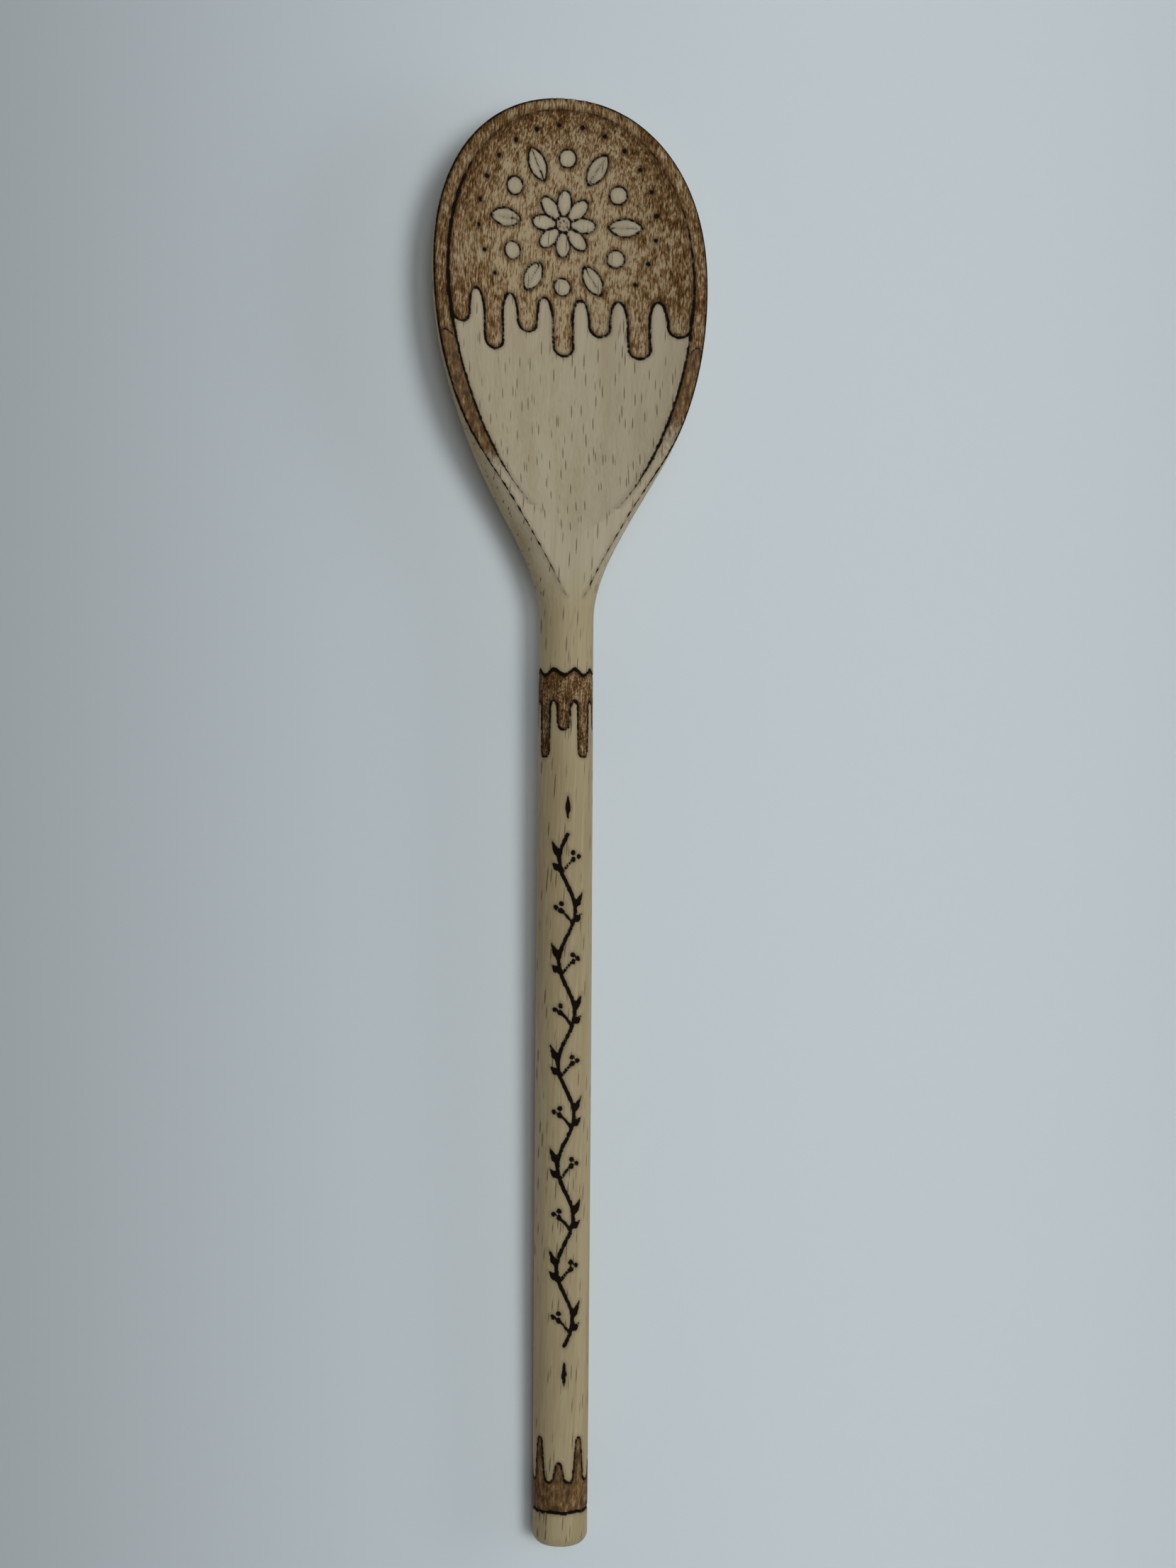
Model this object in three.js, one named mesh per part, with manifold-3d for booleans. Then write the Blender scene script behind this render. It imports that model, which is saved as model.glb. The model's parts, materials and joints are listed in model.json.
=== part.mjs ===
// A wooden stirring spoon, carved from one piece of beech.
// A round handle widens through the neck into an egg-shaped bowl. The bowl's back is
// full and rounded, its face is one flat plane that slopes gently towards the tip, and
// a shallow hollow is scooped out of the face, leaving a flat rim.
//
// The spoon is drawn in the blank's own frame: a station is a distance along Y from the
// handle's butt end, and height zero is the handle's axis. At the end it is laid down
// on the two places that it rests on, the butt end and the back of the bowl.

import * as THREE from 'three';
import Module from 'manifold-3d';

const wasm = await Module();
wasm.setup();

// Driving dimensions, in millimetres.
const LENGTH = 300;
const HANDLE_RADIUS = 5.65;
const HANDLE_SWELL = 0.15;
const BUTT_ROUNDING = 2.6;
const BOWL_HALF_WIDTH = 30.2;

// The bowl's side outline, as stations.
const NECK_START = 190.8;
const NECK_FILLET = 209.9;
const SHOULDER = 224.2;
const BOWL_WIDEST = 263;
const TIP_FULLNESS = 2.2;

// The bowl's sections: the crown above the widest line, and the keel along the back.
const NECK_CROWN = 9.6;
const NECK_CROWN_STATION = 217;
const KEEL_DEPTH = 10.2;
const KEEL_DEEPEST = 236;
const WIDEST_LINE_LEAVES_AXIS = 212;
const WIDEST_LINE_MEETS_FACE = 240;
const EDGE_BELOW_FACE = 0.5;

// The flat face.
const FACE_START = 194.4;
const FACE_START_HEIGHT = 5.75;
const FACE_SLOPE = Math.tan(THREE.MathUtils.degToRad(-2.08));

// The hollow: an egg with its widest line at HOLLOW_WIDEST.
const HOLLOW_WIDEST = 262;
const HOLLOW_HALF_WIDTH = 27;
const HOLLOW_TO_TIP = 35.5;
const HOLLOW_TO_NECK = 53;
const HOLLOW_TIP_FULLNESS = 2.2;
const HOLLOW_NECK_FULLNESS = 1.7;
const HOLLOW_DEPTH = 7.5;

// How finely the curves are divided.
const AROUND = 36;
const HANDLE_STEPS = 6;
const ROUNDING_STEPS = 4;
const NECK_STEPS = 16;
const TIP_STEPS = 12;
const HOLLOW_AROUND = 48;
const HOLLOW_RINGS = 8;

const clamp01 = (t) => Math.min(1, Math.max(0, t));

// An S-shaped rise from 0 at `from` to 1 at `to`.
function rise(station, from, to) {
  const t = clamp01((station - from) / (to - from));
  return t * t * (3 - 2 * t);
}

// A quarter of a superellipse: 1 at t = 0, falling to 0 at t = 1.
function superQuarter(t, fullness) {
  return Math.pow(1 - Math.pow(clamp01(t), fullness), 1 / fullness);
}

function faceHeight(station) {
  return FACE_START_HEIGHT + FACE_SLOPE * (station - FACE_START);
}

// The height of the section's widest line: the handle's axis, then just under the face.
function widestHeight(station) {
  const underFace = faceHeight(station) - EDGE_BELOW_FACE;
  return underFace * rise(station, WIDEST_LINE_LEAVES_AXIS, WIDEST_LINE_MEETS_FACE);
}

// How far the section rises above its widest line, before the face is planed off.
function crown(station) {
  const grown = (NECK_CROWN - HANDLE_RADIUS) * rise(station, NECK_START, NECK_CROWN_STATION);
  return HANDLE_RADIUS + grown;
}

// The height of the keel, the lowest line along the back: it leaves the handle's
// underside, is deepest under the bowl, and curves up to the tip.
function keelHeight(station) {
  const grown = (KEEL_DEPTH - HANDLE_RADIUS) * rise(station, NECK_START, KEEL_DEEPEST);
  const tipHeight = widestHeight(LENGTH);
  const lift = superQuarter((station - KEEL_DEEPEST) / (LENGTH - KEEL_DEEPEST), 2);
  return tipHeight - (tipHeight + HANDLE_RADIUS + grown) * lift;
}

// One section of the blank: two half ellipses that share the widest line.
function ring(station, halfWidth, height, up, down) {
  const points = [];
  for (let i = 0; i < AROUND; i += 1) {
    const angle = (2 * Math.PI * i) / AROUND;
    const reach = Math.sin(angle) > 0 ? up : down;
    points.push(new THREE.Vector3(
      halfWidth * Math.cos(angle),
      station,
      height + reach * Math.sin(angle),
    ));
  }
  return points;
}

// The handle: a rounded end, then a shaft that swells slightly half way along.
function handleRings() {
  const rings = [];
  for (let i = 0; i <= ROUNDING_STEPS; i += 1) {
    const turn = (Math.PI / 2) * (i / ROUNDING_STEPS);
    const radius = HANDLE_RADIUS - BUTT_ROUNDING * (1 - Math.sin(turn));
    rings.push(ring(BUTT_ROUNDING * (1 - Math.cos(turn)), radius, 0, radius, radius));
  }
  for (let i = 1; i < HANDLE_STEPS; i += 1) {
    const share = i / HANDLE_STEPS;
    const radius = HANDLE_RADIUS + HANDLE_SWELL * Math.sin(Math.PI * share);
    const station = BUTT_ROUNDING + (NECK_START - BUTT_ROUNDING) * share;
    rings.push(ring(station, radius, 0, radius, radius));
  }
  return rings;
}

// The bowl: its side outline is one S-shaped curve out to the widest line, and a
// superellipse from there to the tip.
function bowlRings() {
  const side = new THREE.CubicBezierCurve(
    new THREE.Vector2(NECK_START, HANDLE_RADIUS),
    new THREE.Vector2(NECK_FILLET, HANDLE_RADIUS),
    new THREE.Vector2(SHOULDER, BOWL_HALF_WIDTH),
    new THREE.Vector2(BOWL_WIDEST, BOWL_HALF_WIDTH),
  );
  const outline = side.getPoints(NECK_STEPS);
  for (let i = 1; i < TIP_STEPS; i += 1) {
    const t = Math.sin((Math.PI / 2) * (i / TIP_STEPS));
    outline.push(new THREE.Vector2(
      BOWL_WIDEST + (LENGTH - BOWL_WIDEST) * t,
      BOWL_HALF_WIDTH * superQuarter(t, TIP_FULLNESS),
    ));
  }
  return outline.map(({ x: station, y: halfWidth }) => {
    const tip = superQuarter((station - BOWL_WIDEST) / (LENGTH - BOWL_WIDEST), TIP_FULLNESS);
    const height = widestHeight(station);
    return ring(station, halfWidth, height, crown(station) * tip, height - keelHeight(station));
  });
}

// A closed skin over a row of rings, with a fan from each end ring to its end point.
function skin(rings, firstEnd, lastEnd) {
  const points = [firstEnd, ...rings.flat(), lastEnd];
  const around = rings[0].length;
  const last = points.length - 1;
  const at = (ringIndex, i) => 1 + ringIndex * around + (i % around);
  const index = [];
  for (let i = 0; i < around; i += 1) {
    index.push(0, at(0, i), at(0, i + 1));
    index.push(last, at(rings.length - 1, i + 1), at(rings.length - 1, i));
  }
  for (let r = 0; r + 1 < rings.length; r += 1) {
    for (let i = 0; i < around; i += 1) {
      index.push(at(r, i), at(r + 1, i), at(r + 1, i + 1));
      index.push(at(r, i), at(r + 1, i + 1), at(r, i + 1));
    }
  }
  const geometry = new THREE.BufferGeometry().setFromPoints(points);
  geometry.setIndex(index);
  return geometry;
}

function toSolid(geometry) {
  return new wasm.Manifold(new wasm.Mesh({
    numProp: 3,
    vertProperties: new Float32Array(geometry.attributes.position.array),
    triVerts: new Uint32Array(geometry.index.array),
  }));
}

function toGeometry(solid) {
  const mesh = solid.getMesh();
  const geometry = new THREE.BufferGeometry();
  geometry.setAttribute('position', new THREE.BufferAttribute(mesh.vertProperties, 3));
  geometry.setIndex(new THREE.BufferAttribute(mesh.triVerts, 1));
  return geometry;
}

function blankGeometry(rings) {
  const butt = new THREE.Vector3(0, 0, 0);
  const tip = new THREE.Vector3(0, LENGTH, widestHeight(LENGTH));
  return skin(rings, butt, tip);
}

// The block of air above the flat face, from just behind its start to past the tip.
function faceCutGeometry() {
  const lead = 20;
  const span = LENGTH - FACE_START + 2 * lead;
  const tall = 30;
  const wide = 3 * BOWL_HALF_WIDTH;
  const corners = [[-wide, 0], [wide, 0], [wide, tall], [-wide, tall]];
  const end = (station) => corners.map(([x, up]) => (
    new THREE.Vector3(x, station, faceHeight(station) + up)
  ));
  const from = FACE_START - lead;
  const middle = (station) => new THREE.Vector3(0, station, faceHeight(station) + tall / 2);
  return skin([end(from), end(from + span)], middle(from), middle(from + span));
}

// The scoop's tool: nested egg-shaped rings, each at the depth of the hollow there.
// It carries on a little above the face, so that it cuts the face cleanly.
function hollowCutGeometry() {
  const overlap = 1.06;
  const rings = [];
  for (let r = 0; r < HOLLOW_RINGS; r += 1) {
    const reach = overlap * (1 - r / HOLLOW_RINGS);
    const depth = HOLLOW_DEPTH * (1 - reach * reach);
    const points = [];
    for (let i = 0; i < HOLLOW_AROUND; i += 1) {
      const angle = (2 * Math.PI * i) / HOLLOW_AROUND;
      const edge = hollowEdge(angle);
      const station = HOLLOW_WIDEST + reach * edge.along;
      points.push(new THREE.Vector3(reach * edge.across, station, faceHeight(station) - depth));
    }
    rings.push(points);
  }
  const lid = new THREE.Vector3(0, HOLLOW_WIDEST, rings[0][0].z);
  const bottom = faceHeight(HOLLOW_WIDEST) - HOLLOW_DEPTH;
  return skin(rings, lid, new THREE.Vector3(0, HOLLOW_WIDEST, bottom));
}

// A point on the egg-shaped edge of the hollow, as an offset from its widest line.
function hollowEdge(angle) {
  const towardsTip = Math.sin(angle) >= 0;
  const fullness = towardsTip ? HOLLOW_TIP_FULLNESS : HOLLOW_NECK_FULLNESS;
  const length = towardsTip ? HOLLOW_TO_TIP : HOLLOW_TO_NECK;
  const power = 2 / fullness;
  return {
    across: HOLLOW_HALF_WIDTH * Math.sign(Math.cos(angle)) * Math.abs(Math.cos(angle)) ** power,
    along: length * Math.sign(Math.sin(angle)) * Math.abs(Math.sin(angle)) ** power,
  };
}

function spoonGeometry(rings) {
  const blank = toSolid(blankGeometry(rings));
  const planed = blank.subtract(toSolid(faceCutGeometry()));
  return toGeometry(planed.subtract(toSolid(hollowCutGeometry())));
}

// The angle that lays the spoon down: from the handle's underside, just past the
// rounded end, to the lowest place on the back of the bowl.
function restAngle(rings) {
  const angles = rings.map((points) => {
    const lowest = Math.min(...points.map((point) => point.z));
    const along = points[0].y - BUTT_ROUNDING;
    return along > LENGTH / 2 ? Math.atan2(-HANDLE_RADIUS - lowest, along) : 0;
  });
  return Math.max(...angles);
}

const rings = [...handleRings(), ...bowlRings()];
const beech = new THREE.MeshStandardMaterial({ color: 0xc9b087, roughness: 0.62, metalness: 0 });
const spoon = new THREE.Mesh(spoonGeometry(rings), beech);
spoon.name = 'spoon';
spoon.rotation.x = restAngle(rings);

// The spoon's origin goes to the middle of its footprint, on the surface it lies on.
spoon.updateMatrixWorld(true);
const bounds = new THREE.Box3().setFromObject(spoon, true);
const centre = bounds.getCenter(new THREE.Vector3());
spoon.position.set(-centre.x, -centre.y, -bounds.min.z);

const group = new THREE.Group();
group.add(spoon);

export default group;
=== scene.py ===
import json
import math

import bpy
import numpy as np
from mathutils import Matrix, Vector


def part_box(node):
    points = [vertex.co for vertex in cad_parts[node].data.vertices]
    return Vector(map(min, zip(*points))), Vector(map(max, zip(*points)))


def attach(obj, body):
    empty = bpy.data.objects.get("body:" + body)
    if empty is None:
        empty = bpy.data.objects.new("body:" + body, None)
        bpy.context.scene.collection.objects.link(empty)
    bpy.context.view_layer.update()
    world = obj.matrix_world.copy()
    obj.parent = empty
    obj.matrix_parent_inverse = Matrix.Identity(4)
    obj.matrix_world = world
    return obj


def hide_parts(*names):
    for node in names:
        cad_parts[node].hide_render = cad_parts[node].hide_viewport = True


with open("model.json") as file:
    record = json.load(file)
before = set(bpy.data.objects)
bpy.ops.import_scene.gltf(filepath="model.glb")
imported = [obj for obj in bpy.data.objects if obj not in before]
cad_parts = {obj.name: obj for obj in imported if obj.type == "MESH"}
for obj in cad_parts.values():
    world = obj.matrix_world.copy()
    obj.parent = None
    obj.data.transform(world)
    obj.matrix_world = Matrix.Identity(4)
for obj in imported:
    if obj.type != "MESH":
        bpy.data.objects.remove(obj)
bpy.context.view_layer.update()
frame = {"record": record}

# A beech stirring spoon, decorated with a hot pen. The wood is one fine mesh, drawn by
# the same formulas as the CAD solid. The burnt drawing is a set of signed distances in
# millimetres, worked out for every point of that mesh: positive inside a browned area or
# a burnt line. The mesh is sunk a little there, and the material chars it.
#
# The drawing frame is the blank's own: a station is a distance in millimetres along the
# spoon from the butt end, and height zero is the handle's axis. On the face a place is
# (across, station). On the handle it is (round, station), where round is the distance
# around the handle from its top line.

MM = 0.001
mounts = {m["name"]: m for m in frame["record"]["mounts"]}
butt_end = mounts["handle_end"]
rim_face = mounts["rim_face"]
spoon_low, spoon_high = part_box("spoon")

# How the spoon lies: its handle rises by this angle towards the bowl.
TILT = math.atan2(-butt_end["axis"][2], -butt_end["axis"][1])
BUTT = np.array(butt_end["pos_m"]) / MM

# Driving dimensions, in millimetres.
BUTT_ROUNDING = 2.6
LENGTH = (spoon_high[1] / MM - BUTT[1]) / math.cos(TILT)
HALF_WIDTH = (spoon_high[0] - spoon_low[0]) / MM / 2
HANDLE_RADIUS = BUTT[2] / math.cos(TILT) + BUTT_ROUNDING * math.tan(TILT)
HANDLE_SWELL = 0.15

# The side outline and the sections, as in the CAD solid.
NECK_START = 190.8
NECK_FILLET = 209.9
SHOULDER = 224.2
BOWL_WIDEST = 263
TIP_FULLNESS = 2.2
NECK_CROWN = 9.6
NECK_CROWN_STATION = 217
KEEL_DEPTH = 10.2
KEEL_DEEPEST = 236
WIDEST_LINE_LEAVES_AXIS = 212
WIDEST_LINE_MEETS_FACE = 240
EDGE_BELOW_FACE = 0.5
HOLLOW_WIDEST = 262
HOLLOW_HALF_WIDTH = 27
HOLLOW_TO_TIP = 35.5
HOLLOW_TO_NECK = 53
HOLLOW_TIP_FULLNESS = 2.2
HOLLOW_NECK_FULLNESS = 1.7
HOLLOW_DEPTH = 7.5

# Stretches of stations over which the round section turns into the bowl's.
CORNERS_GROW = (186, 218)
COLUMNS_EVEN_OUT = (192, 222)
EVEN_SHARE = 0.6          # how far the top columns even out
FACE_STARTS = NECK_START - 4

# How finely the wood is divided.
ROW_STEP_HANDLE = 0.5
ROW_STEP_BOWL = 0.37
TIP_ROWS = 130
ROUNDING_ROWS = 8
BUTT_ROWS = 5
TOP_COLUMNS = 176
BACK_COLUMNS = 44
HANDLE_SHARE = 4          # the handle has a quarter of the top columns
HANDLE_BACK_SHARE = 2     # and half of the back columns
COLUMNS_CHANGE = 189.0    # the station where they meet


# ---------------------------------------------------------------- shape of the wood

def rise(value, start, end):
    """An S-shaped rise from 0 at start to 1 at end."""
    t = np.clip((value - start) / (end - start), 0, 1)
    return t * t * (3 - 2 * t)


def fall(value, start, end):
    """An S-shaped fall from 1 at start to 0 at end."""
    return rise(-value, -end, -start)


def quarter(t, fullness):
    """A quarter of a superellipse: 1 at t = 0, falling to 0 at t = 1."""
    return (1 - np.clip(t, 0, 1) ** fullness) ** (1 / fullness)


# The flat face, from the mount that lies on it.
FACE_SLOPE = -math.tan(math.atan2(rim_face["axis"][1], rim_face["axis"][2]) + TILT)
_face_point = np.array(rim_face["pos_m"]) / MM - BUTT
FACE_STATION = _face_point[1] * math.cos(TILT) + _face_point[2] * math.sin(TILT)
FACE_HEIGHT = _face_point[2] * math.cos(TILT) - _face_point[1] * math.sin(TILT)


def face_height(station):
    return FACE_HEIGHT + FACE_SLOPE * (station - FACE_STATION)


def widest_height(station):
    under_face = face_height(station) - EDGE_BELOW_FACE
    return under_face * rise(station, WIDEST_LINE_LEAVES_AXIS, WIDEST_LINE_MEETS_FACE)


def crown(station):
    """How far the section rises above its widest line, before the face is planed."""
    grown = (NECK_CROWN - HANDLE_RADIUS) * rise(station, NECK_START, NECK_CROWN_STATION)
    tip = quarter((station - BOWL_WIDEST) / (LENGTH - BOWL_WIDEST), TIP_FULLNESS)
    return (HANDLE_RADIUS + grown) * tip


def keel_height(station):
    grown = (KEEL_DEPTH - HANDLE_RADIUS) * rise(station, NECK_START, KEEL_DEEPEST)
    tip_height = widest_height(LENGTH)
    lift = quarter((station - KEEL_DEEPEST) / (LENGTH - KEEL_DEEPEST), 2)
    return tip_height - (tip_height + HANDLE_RADIUS + grown) * lift


def half_width(station):
    """The side outline: shaft, one S-shaped curve through the neck, superellipse tip."""
    u = np.linspace(0, 1, 400)
    v = 1 - u
    along = (NECK_START * v ** 3 + 3 * NECK_FILLET * u * v * v
             + 3 * SHOULDER * u * u * v + BOWL_WIDEST * u ** 3)
    across = HANDLE_RADIUS + (HALF_WIDTH - HANDLE_RADIUS) * (3 * u * u * v + u ** 3)
    neck = np.interp(station, along, across)
    shaft_share = np.clip((station - BUTT_ROUNDING) / (NECK_START - BUTT_ROUNDING), 0, 1)
    shaft = HANDLE_RADIUS + HANDLE_SWELL * np.sin(np.pi * shaft_share)
    tip = quarter((station - BOWL_WIDEST) / (LENGTH - BOWL_WIDEST), TIP_FULLNESS)
    return np.where(station < NECK_START, shaft, neck) * tip


def hollow_reach(across, station):
    """0 in the middle of the hollow, 1 on its edge."""
    along = station - HOLLOW_WIDEST
    to_tip = along >= 0
    fullness = np.where(to_tip, HOLLOW_TIP_FULLNESS, HOLLOW_NECK_FULLNESS)
    length = np.where(to_tip, HOLLOW_TO_TIP, HOLLOW_TO_NECK)
    total = (np.abs(across) / HOLLOW_HALF_WIDTH) ** fullness + (np.abs(along) / length) ** fullness
    return total ** (1 / fullness)


def hollow_depth(across, station):
    return HOLLOW_DEPTH * np.clip(1 - hollow_reach(across, station) ** 2, 0, None)


def edge_angle(station):
    """The angle on the section's crown where the flat face cuts it."""
    reach = (face_height(station) - widest_height(station)) / np.maximum(crown(station), 0.1)
    bowl_angle = math.asin(EDGE_BELOW_FACE / NECK_CROWN)
    cut = np.arcsin(np.clip(reach, 0, 1))
    return np.where(station > BOWL_WIDEST, bowl_angle, cut)


def section(station, columns_top, columns_back):
    """One closed ring of the wood, as points (across, station, height): the top, then the back."""
    width = float(half_width(station))
    middle = float(widest_height(station))
    up = float(crown(station))
    down = middle - float(keel_height(station))
    if station < NECK_START:
        up = down = width
    corner = float(edge_angle(station)) * float(rise(station, *CORNERS_GROW))
    flat = EVEN_SHARE * float(rise(station, *COLUMNS_EVEN_OUT))
    share = np.linspace(0, 1, columns_top + 1)
    turn = corner + (math.pi - 2 * corner) * share
    even = math.cos(corner) * (1 - 2 * share)
    across_top = width * ((1 - flat) * np.cos(turn) + flat * even)
    dome = middle + up * np.sqrt(np.clip(1 - (across_top / width) ** 2, 0, 1))
    face = face_height(station) - hollow_depth(across_top, station)
    height_top = np.minimum(dome, face) if station > FACE_STARTS else dome
    share = np.linspace(0, 1, columns_back + 1)[1:-1]
    share = 0.5 * share + 0.5 * (1 - np.cos(np.pi * share)) / 2
    turn = math.pi - corner + (math.pi + 2 * corner) * share
    across_back = width * np.cos(turn)
    reach = np.where(np.sin(turn) > 0, up, down)
    height_back = middle + reach * np.sin(turn)
    across = np.concatenate([across_top, across_back])
    height = np.concatenate([height_top, height_back])
    return np.stack([across, np.full(len(across), station), height], 1)


def butt_rings(columns_top, columns_back):
    """The flat end, and its rounded edge."""
    rings = []
    flat_radius = HANDLE_RADIUS - BUTT_ROUNDING
    radii = [(flat_radius * (i + 1) / BUTT_ROWS, 0.0) for i in range(BUTT_ROWS)]
    for i in range(1, ROUNDING_ROWS):
        turn = math.pi / 2 * i / ROUNDING_ROWS
        radius = HANDLE_RADIUS - BUTT_ROUNDING * (1 - math.sin(turn))
        radii.append((radius, BUTT_ROUNDING * (1 - math.cos(turn))))
    unit = section(BUTT_ROUNDING, columns_top, columns_back)
    for radius, station in radii:
        ring = unit * (radius / HANDLE_RADIUS)
        ring[:, 1] = station
        rings.append(ring)
    return rings


def wood_rings():
    """(rings of the handle, rings of the bowl), the handle's with fewer columns."""
    columns = TOP_COLUMNS // HANDLE_SHARE, BACK_COLUMNS // HANDLE_BACK_SHARE
    handle = butt_rings(*columns)
    rows = round((COLUMNS_CHANGE - BUTT_ROUNDING) / ROW_STEP_HANDLE)
    for station in np.linspace(BUTT_ROUNDING, COLUMNS_CHANGE, rows + 1):
        handle.append(section(station, *columns))
    first = COLUMNS_CHANGE + ROW_STEP_HANDLE
    rows = round((BOWL_WIDEST - first) / ROW_STEP_BOWL)
    stations = list(np.linspace(first, BOWL_WIDEST, rows + 1))
    for i in range(1, TIP_ROWS):
        turn = math.pi / 2 * i / TIP_ROWS
        stations.append(BOWL_WIDEST + (LENGTH - BOWL_WIDEST) * math.sin(turn) ** (2 / TIP_FULLNESS))
    bowl = [section(station, TOP_COLUMNS, BACK_COLUMNS) for station in stations]
    return np.array(handle), np.array(bowl)


def grid_faces(first, rows, columns):
    """Quads between neighbouring rings of a grid whose first point is `first`."""
    r = np.arange(rows - 1)[:, None]
    c = np.arange(columns)[None, :]
    after = (c + 1) % columns
    quads = np.stack([r * columns + c, (r + 1) * columns + c,
                      (r + 1) * columns + after, r * columns + after], -1)
    return (first + quads.reshape(-1, 4)).tolist()


def fan_faces(centre, ring, facing_back):
    count = len(ring)
    faces = []
    for i in range(count):
        a, b = ring[i], ring[(i + 1) % count]
        faces.append([centre, a, b] if facing_back else [centre, b, a])
    return faces


def stitch_faces(coarse, fine, shares):
    """Joins a coarse ring to a fine one. shares says how many fine steps each coarse has."""
    faces = []
    at = 0
    for i, share in enumerate(shares):
        a, b = coarse[i], coarse[(i + 1) % len(coarse)]
        half = share // 2
        for k in range(share):
            apex = a if k < half else b
            faces.append([apex, fine[(at + k) % len(fine)], fine[(at + k + 1) % len(fine)]])
        faces.append([a, fine[(at + half) % len(fine)], b])
        at += share
    return faces


def surface_normals(rings):
    """Outward normals of a grid of rings."""
    along = np.gradient(rings, axis=0)
    around = np.roll(rings, -1, 1) - np.roll(rings, 1, 1)
    normals = np.cross(along, around)
    return normals / np.maximum(np.linalg.norm(normals, axis=2, keepdims=True), 1e-9)


# ------------------------------------------------------- distances to drawn shapes
# Every shape gives a signed distance in millimetres, positive inside it.

FAR = 9.0                # minus this stands for "nothing drawn near here"
LINE_WINDOW = 4          # each step of a line is only worked out this near to it


def disc(x, y, centre, radius):
    return radius - np.hypot(x - centre[0], y - centre[1])


def ellipse(x, y, centre, radii, lean):
    c, s = math.cos(lean), math.sin(lean)
    u = (x - centre[0]) * c + (y - centre[1]) * s
    v = (y - centre[1]) * c - (x - centre[0]) * s
    k = np.hypot(u / radii[0], v / radii[1])
    slope = np.hypot(u / radii[0] ** 2, v / radii[1] ** 2)
    return k * (1 - k) / np.maximum(slope, 1e-6)


def drop(x, y, start, end, start_radius, end_radius):
    """A rounded bar from start to end whose radius changes along it."""
    dx, dy = end[0] - start[0], end[1] - start[1]
    t = np.clip(((x - start[0]) * dx + (y - start[1]) * dy) / (dx * dx + dy * dy), 0, 1)
    radius = start_radius + (end_radius - start_radius) * t
    return radius - np.hypot(x - start[0] - dx * t, y - start[1] - dy * t)


def either(a, b, fillet=0.0):
    """Union, with its inner corners filled to a radius of about `fillet`."""
    if fillet == 0:
        return np.maximum(a, b)
    h = np.clip(0.5 + 0.5 * (a - b) / fillet, 0, 1)
    return b + (a - b) * h + fillet * h * (1 - h)


def smooth_curve(points, steps=8):
    """A Catmull-Rom curve through the points."""
    p = np.array(points, float)
    p = np.concatenate([[2 * p[0] - p[1]], p, [2 * p[-1] - p[-2]]])
    out = []
    for i in range(1, len(p) - 2):
        for t in np.linspace(0, 1, steps, endpoint=False):
            a = 2 * p[i]
            b = (p[i + 1] - p[i - 1]) * t
            c = (2 * p[i - 1] - 5 * p[i] + 4 * p[i + 1] - p[i + 2]) * t * t
            d = (3 * p[i] - p[i - 1] - 3 * p[i + 1] + p[i + 2]) * t ** 3
            out.append((a + b + c + d) / 2)
    out.append(p[-2])
    return np.array(out)


def line(x, y, points, start_radius, end_radius=None):
    """A pen line through points, as wide as twice its radius."""
    if end_radius is None:
        end_radius = start_radius
    result = np.full(x.shape, -FAR)
    count = len(points) - 1
    for i in range(count):
        r0 = start_radius + (end_radius - start_radius) * i / count
        r1 = start_radius + (end_radius - start_radius) * (i + 1) / count
        near = (np.abs(x - points[i][0]) < LINE_WINDOW) & (np.abs(y - points[i][1]) < LINE_WINDOW)
        if near.any():
            step = drop(x[near], y[near], points[i], points[i + 1], r0, r1)
            result[near] = np.maximum(result[near], step)
    return result


def pointed_oval(x, y, start, end, half_width):
    """The overlap of two equal discs, with its points at start and end."""
    along = np.array(end) - np.array(start)
    half_length = np.linalg.norm(along) / 2
    radius = (half_length ** 2 + half_width ** 2) / (2 * half_width)
    side = np.array([-along[1], along[0]]) / (2 * half_length) * (radius - half_width)
    middle = (np.array(start) + np.array(end)) / 2
    return np.minimum(disc(x, y, middle - side, radius), disc(x, y, middle + side, radius))


# ------------------------------------------------------------ the drawing on the face
# A plain ornament laid out by rule: even drips, and a rosette inside a wreath and a ring of dots.

DRIP_BASE = 257.0        # the browning begins at a wave about this station
DRIP_WAVE = 2.2
DRIP_PITCH = 8.0
DRIPS_EACH_SIDE = 3      # and one on the centre line
DRIP_HALF_WIDTH = 2.2
DRIP_ENDS = (247.0, 251.6)   # lowest stations: long and short drips take turns
DRIP_FILLET = 1.6
DRIP_PEN = 0.30          # half widths of the burnt lines
RIM_BROWN_PEN = 0.20
ORNAMENT_PEN = 0.22
ORNAMENT_PEN_INSET = 0.15
RIB_RADII = (0.2, 0.05)  # a leaf's rib, at its root and at its tip
ROSETTE_CENTRE = (0.0, 275.0)
PETALS = 8
PETAL_MIDDLE = 4.3       # from the rosette's centre
PETAL_RADII = (2.5, 1.4)
HEART_RADIUS = 1.5
HEART_DOTS = 6
HEART_DOT_RING = 0.8
HEART_DOT_RADIUS = 0.25
WREATH_PLACES = 12       # discs and leaves take turns
WREATH_DISC_MIDDLE = 13.2
WREATH_DISC_RADIUS = 1.7
WREATH_LEAF_ENDS = (9.8, 16.6)   # a leaf's root and tip, from the rosette's centre
WREATH_LEAF_HALF_WIDTH = 1.7
DOT_RING = 19.6
DOTS = 24
DOT_RADIUS = 0.5
DOT_CLEARANCE = 1.0      # dots nearer than this to the drips are left out
RIM_STARTS = 0.995       # as a reach of the hollow
RIM_WIDTH = 3.0
RIM_BROWN_END = 248.0    # station where the mottling on the rim stops
RIM_ARCH_HEIGHT = 1.4
RIM_WASH_FULL = 230.0    # the smooth browning of the rim fades out below this
RIM_WASH_END = 219.0
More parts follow.
